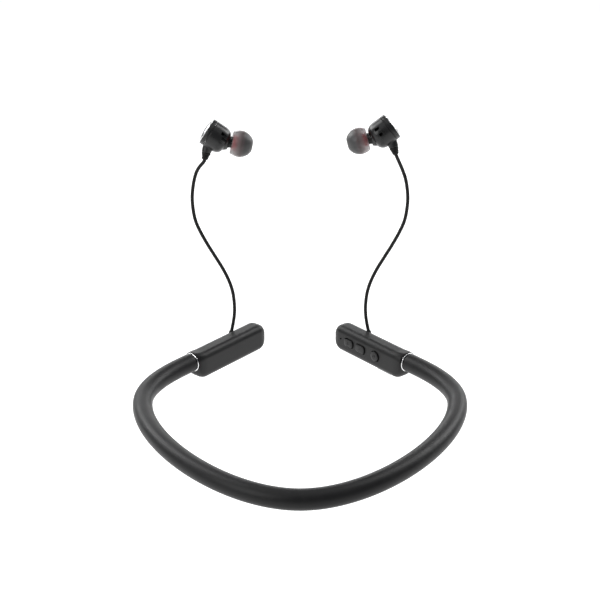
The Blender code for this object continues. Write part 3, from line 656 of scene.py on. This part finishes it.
# ------------------------------------------------------------------ pods
def pod_form():
    """The pod's outer form, from its round mouth to its rounded far end."""
    sections = []
    for i in range(15):
        share = (i / 14) ** 1.6
        ease = math.sqrt(1 - (1 - share) ** 2)
        sections.append(rounded_section(
            share * NEAR_BLEND,
            mix(-POD_NECK_RADIUS, POD_INNER, ease), mix(POD_NECK_RADIUS, POD_OUTER, share),
            mix(-POD_NECK_RADIUS, POD_BOTTOM, ease), mix(POD_NECK_RADIUS, POD_TOP, share),
            mix(POD_NECK_RADIUS, POD_CORNER, ease)))
    tall, wide = FAR_SHRINK
    for i in range(17):
        share = 1 - (1 - i / 16) ** 1.6
        ease = 1 - math.sqrt(1 - share * share)
        sections.append(rounded_section(
            POD_LENGTH - FAR_BLEND * (1 - share),
            POD_INNER + wide * ease, POD_OUTER - wide * ease,
            POD_BOTTOM + tall * ease, POD_TOP - tall * ease, POD_CORNER))
    return loft(sections)


def outline(half, corner, grow, y):
    """A rounded rectangle in the pod's inner face, at a depth y."""
    half_x = half[0] + grow
    half_z = half[1] + grow
    section = rounded_section(0, -half_x, half_x, -half_z, half_z, max(corner + grow, 0.15 * MM), 12)
    return [Vector((point.y, y, point.z)) for point in section]


def button_shape(name):
    """Half sizes and corner radius of a button's outline."""
    if name == "power":
        return (POWER_RADIUS, POWER_RADIUS), POWER_RADIUS
    return VOLUME_HALF, VOLUME_CORNER


def pod_steps(side):
    """What is taken out of a pod's form to make its shell."""
    far = (POD_LENGTH - 2 * MM) / MM
    wall = POD_WALL / MM
    inner = POD_INNER / MM
    bottom = POD_BOTTOM / MM
    seam_x, seam_y, seam_z = LID_SEAM_X / MM, LID_SEAM_Y / MM, LID_SEAM_Z / MM
    socket = moved(turned([(0, -2), (SOCKET_RADIUS / MM, -2)],
                          [(SOCKET_RADIUS / MM, -2), (SOCKET_RADIUS / MM, 6)],
                          [(SOCKET_RADIUS / MM, 6), (0, 6)]), axis_matrix(Vector(), X_AXIS))
    hole = moved(turned([(0, -4), (GROMMET_HOLE, -4)], [(GROMMET_HOLE, -4), (GROMMET_HOLE, 2)],
                        [(GROMMET_HOLE, 2), (0, 2)], steps=32), axis_matrix(GROMMET_SEAT, GROMMET_TILT))
    cutters = [
        span_mesh((seam_x, seam_y, -12), (60, 8, seam_z)),
        span_mesh((4, inner + wall, bottom + wall), (far, seam_y + 1, seam_z - 0.8)),
        span_mesh((4.5, inner + wall + 0.3, -3), (far - 0.5, 1.5, POD_TOP / MM - wall)),
        socket,
        hole,
    ]
    if side == "right":
        port_x = PORT_X / MM
        cutters.append(span_mesh((port_x - 4.7, -4.3, -10), (port_x + 4.7, -0.5, -6)))
        mic = turned([(0, -1), (0.62, -1), (0.62, 0.0), (MIC_RADIUS / MM, 0.16)],
                     [(MIC_RADIUS / MM, 0.16), (MIC_RADIUS / MM, 3)], [(MIC_RADIUS / MM, 3), (0, 3)],
                     steps=32, smoothing=1)
        cutters.append(moved(mic, axis_matrix(Vector((MIC_X, POD_INNER, MIC_Z)), Y_AXIS)))
        for name, x in BUTTON_X.items():
            half, corner = button_shape(name)
            levels = ((-1.0, 0.12), (0.0, 0.12), (0.05, 0.05), (0.14, 0.0), (3.5, 0.0))
            opening = loft([outline(half, corner, BUTTON_GAP + ease * MM, depth * MM)
                            for depth, ease in levels])
            cutters.append(moved(opening, Matrix.Translation((x, POD_INNER, BUTTON_Z))))
    return [("DIFFERENCE", cutter) for cutter in cutters]


def build_pods():
    soft_edges = ("BEVEL", {"width": 0.1 * MM, "segments": 2, "limit_method": "ANGLE",
                            "angle_limit": math.radians(50), "harden_normals": False})
    for side in SIDES:
        seat = THROUGH[side] @ POD_FRAME
        shell = worked(pod_form(), *pod_steps(side))
        add_piece(side + "_pod_case", moved(shell, seat), "pod", side + "_arm", (side + "_pod_shell",), 40,
                  True)
        reveal = LID_LINE / MM
        keep = span_mesh((LID_SEAM_X / MM + reveal, LID_SEAM_Y / MM + reveal, -12),
                         (60, 8, LID_SEAM_Z / MM - reveal))
        lid = worked(pod_form(), ("INTERSECT", keep), soft_edges)
        add_piece(side + "_pod_cover", moved(lid, seat), "pod", side + "_arm", (side + "_pod_lid",), 40, True)
        profile = ([(0, 0.6), (0.88, 0.6)], [(0.88, 0.6), (0.98, 0.4), (1.1, 0.15), (1.2, -0.1)],
                   [(1.2, -0.1), (1.2, -1.8)], [(1.2, -1.8), (0, -1.8)])
        grommet = moved(turned(*profile, steps=48),
                        seat @ axis_matrix(GROMMET_SEAT + GROMMET_TILT * GAP, GROMMET_TILT))
        add_piece(side + "_grommet", grommet, "cable", side + "_arm", (side + "_cable_grommet",))


def icon_cutters(name):
    """Shallow marks in a button's face: a plus, a minus, and a ring with a bar."""
    bars = {
        "volume_up": (((-0.85, -0.17), (0.85, 0.17)), ((-0.17, -0.85), (0.17, 0.85))),
        "volume_down": (((-0.85, -0.17), (0.85, 0.17)),),
        "power": (((-0.15, 0.1), (0.15, 1.15)),),
    }[name]
    depth = ICON_DEPTH / MM
    cutters = [span_mesh((low[0], -1, low[1]), (high[0], depth, high[1])) for low, high in bars]
    if name == "power":
        groove = turned([(0.65, -1), (0.95, -1)], [(0.95, -1), (0.95, depth)], [(0.95, depth), (0.65, depth)],
                        [(0.65, depth), (0.65, -1)], steps=48, closed=True)
        cutters.append(moved(groove, axis_matrix(Vector(), Y_AXIS)))
    return [("DIFFERENCE", cutter) for cutter in cutters]


def button_cap(name):
    """A button whose front is a shallow crown; y = 0 is its front and +y goes into the pod."""
    half, corner = button_shape(name)
    crown = 0.14 * MM
    sections = []
    for share in (0.2, 0.45, 0.7, 0.88):
        sections.append(outline((half[0] * share, half[1] * share), corner * share, 0.0,
                                crown * share * share))
    for y, shrink in ((0.15, 0.2), (0.2, 0.1), (0.3, 0.035), (0.45, 0.0), (BUTTON_DEPTH / MM, 0.0)):
        sections.append(outline(half, corner, -shrink * MM, y * MM))
    return loft(sections)


def build_buttons():
    seat = THROUGH["right"] @ POD_FRAME
    for name, x in BUTTON_X.items():
        cap = worked(button_cap(name), *icon_cutters(name))
        place = Matrix.Translation((x, POD_INNER - BUTTON_PROUD, BUTTON_Z))
        add_piece(name + "_cap", moved(cap, seat @ place), "button", name, (name + "_button",), 30, True)


# ------------------------------------------------------------------ earbuds
def bud_housing(side):
    """The housing in the bud's own frame: a dome, a tapered throat and a cable boss, filleted together."""
    upright = Matrix.Rotation(math.radians(90), 4, "Y")
    nozzle = Matrix.Translation(COLLAR) @ Matrix.Rotation(math.radians(90) - NOZZLE_ANGLE, 4, "Y")
    dome = moved(turned([(0, 10.2), (2.2, 10.2), (3.6, 10.05), (5.0, 9.4), (6.0, 8.2), (6.5, 6.6),
                         (6.6, 5.0)],
                        [(6.6, 5.0), (6.6, 1.3)], [(6.6, 1.3), (6.5, 1.2)], [(6.5, 1.2), (0, 1.2)],
                        steps=96), upright)
    throat = moved(turned([(0, -7), (5.3, -7)], [(5.3, -7), (4.35, -2.2)], [(4.35, -2.2), (0, -2.2)],
                          steps=96), nozzle)
    boss_seat = axis_matrix(STRAIN_TOP - STRAIN_DIRECTION * (5 * MM + GAP), STRAIN_DIRECTION)
    tall = 5.25
    boss = moved(turned([(0, 0), (2.5, 0)], [(2.5, 0), (BOSS_RADIUS / MM, tall)],
                        [(BOSS_RADIUS / MM, tall), (0, tall)],
                        steps=64), boss_seat)
    hollow = moved(turned([(0, 0), (5.7, 0)], [(5.7, 0), (5.7, 6.8)], [(5.7, 6.8), (0, 6.8)], steps=64),
                   upright)
    bore = moved(turned([(0, -6), (1.7, -6)], [(1.7, -6), (1.7, 14)], [(1.7, 14), (0, 14)], steps=48), nozzle)
    steps = [
        ("UNION", throat),
        ("UNION", boss),
        ("REMESH", {"mode": "VOXEL", "voxel_size": 0.17 * MM, "use_smooth_shade": True}),
        ("SMOOTH", {"factor": 0.5, "iterations": 6}),
        ("DIFFERENCE", hollow),
        ("DIFFERENCE", bore),
    ]
    tab_x, tab_angle = TAB[side]
    tab = span_mesh((tab_x - 0.75, -6.8, -0.55), (tab_x + 0.75, -5.9, 0.55))
    steps.append(("UNION", moved(tab, Matrix.Rotation(math.radians(tab_angle), 4, "X"))))
    half_x, half_z = VENT_HALF
    for x, z in VENTS[side]:
        steps.append(("DIFFERENCE", span_mesh((x - half_x, -8, z - half_z), (x + half_x, -4.6, z + half_z))))
    return worked(dome, *steps)


def bud_turnings():
    """Turned pieces of an earbud: name, look, replaced nodes, axis, mesh."""
    collar = turned([(0, -3.9), (4.72, -3.9)], [(4.72, -3.9), (4.6, -2.8)],
                    [(4.6, -2.8), (4.25, -1.2), (3.9, -0.2)],
                    [(3.9, -0.2), (3.7, 0.0)], [(3.7, 0.0), (3.0, 0.02)],
                    [(3.0, 0.02), (2.75, 0.9), (2.6, 2.3)],
                    [(2.6, 2.3), (2.4, 2.45)], [(2.4, 2.45), (2.4, 7.4)],
                    [(2.4, 7.4), (2.55, 7.7), (2.5, 8.2), (2.3, 8.6)],
                    [(2.3, 8.6), (1.7, 8.6)], [(1.7, 8.6), (1.7, -3.0)], [(1.7, -3.0), (0, -3.0)], steps=80)
    rim = turned([(6.5, 1.15), (6.6, 1.05)], [(6.6, 1.05), (6.6, -0.75)], [(6.6, -0.75), (6.52, -0.85)],
                 [(6.52, -0.85), (5.9, -0.85)], [(5.9, -0.85), (5.9, 1.15)], [(5.9, 1.15), (6.5, 1.15)],
                 steps=96, closed=True)
    ring = turned([(6.35, -0.88), (6.42, -0.96), (6.4, -1.14), (6.3, -1.24)], [(6.3, -1.24), (5.75, -1.3)],
                  [(5.75, -1.3), (5.75, -0.88)], [(5.75, -0.88), (6.35, -0.88)], steps=96, closed=True)
    cap = turned([(0, -0.7), (5.6, -0.7)], [(5.6, -0.7), (5.6, -1.3)],
                 [(5.6, -1.3), (5.4, -1.45), (4.6, -1.75), (3.0, -2.08), (1.4, -2.25), (0, -2.3)], steps=96)
    return (
        ("bud_collar", "gloss", (), "nozzle", collar),
        ("bud_rim", "bud", ("bud_rear",), "bud", rim),
        ("bud_bright_ring", "chrome", ("bud_ring",), "bud", ring),
        ("bud_back_cap", "cap", ("bud_cap",), "bud", cap),
    )


def tip_meshes():
    """The soft dome, thin at its skirt, and the core inside it.

    Heights run along the nozzle from the collar.
    """
    start = TIP_START
    nose = start + TIP_LENGTH
    wide = TIP_RADIUS
    outer = [(2.5, nose - 0.02), (3.3, nose - 0.48), (4.3, nose - 1.25), (5.15, nose - 2.3),
             (5.8, nose - 3.5),
             (6.18, nose - 4.7), (wide, nose - 5.9), (6.2, nose - 7.1), (5.92, nose - 8.2),
             (5.55, nose - 9.15),
             (5.2, start)]
    inner = [(4.9, start + 0.05), (5.18, nose - 9.0), (5.55, nose - 8.0), (5.82, nose - 7.0),
             (5.9, nose - 5.9),
             (5.7, nose - 4.7), (5.2, nose - 3.5), (4.6, nose - 2.6), (4.0, nose - 1.95), (3.65, nose - 1.7)]
    lip = [(2.2, nose - 0.9), (2.12, nose - 0.5), (2.25, nose - 0.12), outer[0]]
    bridge = [(3.65, nose - 1.15), lip[0]]
    dome = turned(outer, [outer[-1], inner[0]], inner, [inner[-1], bridge[0]], bridge, lip, steps=96,
                  closed=True)
    end = nose - 1.5
    core = turned([(1.9, end), (3.1, end)], [(3.1, end), (3.35, end - 0.3)],
                  [(3.35, end - 0.3), (3.35, start + 1.3)],
                  [(3.35, start + 1.3), (3.1, start + 0.6)], [(3.1, start + 0.6), (2.75, start + 0.6)],
                  [(2.75, start + 0.6), (2.75, 9.0)], [(2.75, 9.0), (1.9, 9.3)], [(1.9, 9.3), (1.9, end)],
                  steps=80, closed=True)
    along = dome.attributes.new("along", "FLOAT", "POINT")
    heights = [(vertex.co.z / MM - start) / TIP_LENGTH for vertex in dome.vertices]
    along.data.foreach_set("value", heights)
    return dome, core


def nozzle_screen():
    """A woven screen across the nozzle: wires of an even grid, trimmed to a disc, in a rim."""
    bm = bmesh.new()
    radius = 1.35
    pitch = 0.27
    wire = 0.05
    count = int(radius / pitch)
    for across in (False, True):
        for i in range(-count, count + 1):
            offset = i * pitch
            reach = math.sqrt(radius ** 2 - offset ** 2)
            size = (2 * reach, 2 * wire, 2 * wire)
            place = (0, offset, 8.05 + (wire if across else -wire))
            made = bmesh.ops.create_cube(bm, size=1.0)["verts"]
            bmesh.ops.scale(bm, vec=size, verts=made)
            bmesh.ops.translate(bm, vec=place, verts=made)
            if across:
                bmesh.ops.rotate(bm, matrix=Matrix.Rotation(math.radians(90), 3, "Z"), verts=made)
    bmesh.ops.scale(bm, vec=(MM, MM, MM), verts=bm.verts)
    return mesh_from(bm)


def strain_mesh():
    """The tapered relief with its shallow ribs; heights run down towards the cable."""
    run = [(1.98, 0.0), (2.15, 0.4), (2.12, 0.9)]
    ribs = []
    for height, radius in ((1.1, 2.0), (1.75, 1.82), (2.4, 1.64)):
        ribs += [(radius - 0.16, height), (radius - 0.16, height + 0.18), (radius - 0.02, height + 0.3),
                 (radius - 0.08, height + 0.5)]
    length = STRAIN_LENGTH / MM
    return turned([(0, 0), (1.98, 0)], run + ribs + [(1.25, length - 0.12), (1.15, length)],
                  [(1.15, length), (0, length)],
                  steps=48, smoothing=3)


def build_earbuds():
    for side in SIDES:
        bud = BUD_FRAMES[side]
        body = side + "_earbud"
        add_piece(side + "_bud_housing", moved(bud_housing(side), bud), "bud", body, (side + "_bud_front",),
                  35)
        axes = {"bud": bud @ Matrix.Rotation(math.radians(90), 4, "Y"),
                "nozzle": bud @ Matrix.Translation(COLLAR)
                @ Matrix.Rotation(math.radians(90) - NOZZLE_ANGLE, 4, "Y")}
        for name, look, nodes, axis, mesh in bud_turnings():
            add_piece(side + "_" + name, moved(mesh, axes[axis]), look, body,
                      tuple(side + "_" + node for node in nodes), 40)
        add_piece(side + "_screen", moved(nozzle_screen(), axes["nozzle"]), "steel", body,
                  (side + "_nozzle_mesh",))
        relief = moved(strain_mesh(), bud @ axis_matrix(STRAIN_TOP, STRAIN_DIRECTION))
        add_piece(side + "_relief", relief, "cable", body, (side + "_strain_relief",))
        dome, core = tip_meshes()
        tip_body = side + "_ear_tip"
        add_piece(side + "_tip_skirt", moved(dome, axes["nozzle"]), "tip", tip_body, (side + "_tip_dome",),
                  50)
        add_piece(side + "_tip_stem", moved(core, axes["nozzle"]), "core", tip_body, (side + "_tip_core",),
                  40)


# ------------------------------------------------------------------ earbud cables
CABLE_ROUTE = [Vector(point) * MM for point in (
    (-33.0, 145.9, 8.2),
    (-32.4, 146.2, 12.5),
    (-32.3, 146.5, 17.5),
    (-33.0, 146.8, 24.0),
    (-34.7, 146.9, 30.0),
    (-37.6, 147.0, 36.5),
    (-41.0, 147.2, 42.5),
    (-44.7, 147.4, 49.0),
    (-48.0, 147.6, 55.5),
    (-50.3, 147.8, 61.5),
    (-51.3, 148.0, 68.0),
    (-51.4, 148.1, 74.0),
    (-50.4, 148.3, 81.0),
    (-48.6, 148.4, 86.5),
)]


def build_cables():
    """Each earbud's cable, from its grommet to its strain relief."""
    exit_point = POD_FRAME @ (GROMMET_SEAT + GROMMET_TILT * (GROMMET_REACH + GAP + TOUCH))
    exit_heading = (POD_FRAME.to_3x3() @ GROMMET_TILT).normalized()
    for side in SIDES:
        through = THROUGH[side]
        route = [exit_point, exit_point + exit_heading * 1.2 * MM] + CABLE_ROUTE
        route = [through @ point for point in route]
        heading = (BUD_FRAMES[side].to_3x3() @ STRAIN_DIRECTION).normalized()
        end = BUD_FRAMES[side] @ STRAIN_TOP + heading * (STRAIN_LENGTH + TOUCH)
        route += [end + heading * reach for reach in (0.8 * MM, 0.0)]
        path = even_points(curve_through(route, 24), 0.8 * MM)
        item = finished(side + "_cord", sweep(path, [CABLE_RADIUS] * len(path), 20), "cable")
        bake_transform(item)
        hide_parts(side + "_cable")


# ------------------------------------------------------------------ studio
def add_panel(name, place, size, power, target=OBJECT_MIDDLE):
    """A soft rectangular light that looks at the object."""
    data = bpy.data.lights.new(name, "AREA")
    data.shape = "RECTANGLE"
    data.size, data.size_y = size
    data.energy = power
    lamp = bpy.data.objects.new(name, data)
    lamp.location = place
    lamp.rotation_euler = (target - Vector(place)).to_track_quat("-Z", "Y").to_euler()
    bpy.context.scene.collection.objects.link(lamp)


def build_studio():
    scene = bpy.context.scene
    scene.view_settings.view_transform = "Standard"
    world = bpy.data.worlds.new("studio")
    world.use_nodes = True
    world.node_tree.nodes["Background"].inputs["Color"].default_value = (0.9, 0.93, 1.0, 1)
    world.node_tree.nodes["Background"].inputs["Strength"].default_value = 0.18
    scene.world = world

    add_panel("key", (-0.75, -0.45, 0.55), (0.7, 0.7), 5.0)
    add_panel("back_left", (-0.9, 0.65, 0.75), (0.5, 0.9), 9.0)
    add_panel("back_right", (0.9, 0.65, 0.75), (0.5, 0.9), 9.0)
    add_panel("overhead", (0.0, 0.1, 1.6), (2.0, 2.0), 8.0)
    add_panel("horizon_left", (-0.75, 1.4, 0.52), (1.3, 0.45), 6.0)
    add_panel("horizon_middle", (0.0, 1.4, 0.32), (0.5, 0.5), 1.8)
    add_panel("horizon_right", (0.75, 1.4, 0.3), (1.3, 0.45), 5.0)

    bm = bmesh.new()
    bmesh.ops.create_grid(bm, x_segments=8, y_segments=8, size=6.0)
    floor = bpy.data.objects.new("floor", mesh_from(bm))
    floor.location = (0, 0, FLOOR_Z)
    pale = textured("pale_floor", grey(0.4), grey(0.42), (0.6, 0.7), 3 * MM, 0.02 * MM, patch=0.5,
                    Emission_Color=(1, 1, 1, 1), Emission_Strength=0.9)
    floor.data.materials.append(pale)
    scene.collection.objects.link(floor)


# ------------------------------------------------------------------ build
HALF_BAND = half_band()
HALF_LENGTHS = lengths_along(HALF_BAND)
BAND_END = HALF_LENGTHS[-1]
POD_FRAME = frame_matrix(POD_MOUTH, POD_HEADING, Vector((-0.768, 0.64, 0.0)))
BUD_FRAMES = {side: frame_matrix(BUD_CENTRE[side], BUD_FRONT[side], BUD_UP[side].cross(BUD_FRONT[side]))
              for side in SIDES}
BUD_FRAMES["right"] = BUD_FRAMES["right"] @ FLIP_SIDEWAYS
MATERIALS = make_materials()

add_camera()
build_cables()
build_band()
build_trim_rings()
build_pods()
build_buttons()
build_earbuds()
dress_cad_nodes()
build_studio()

bpy.context.view_layer.update()
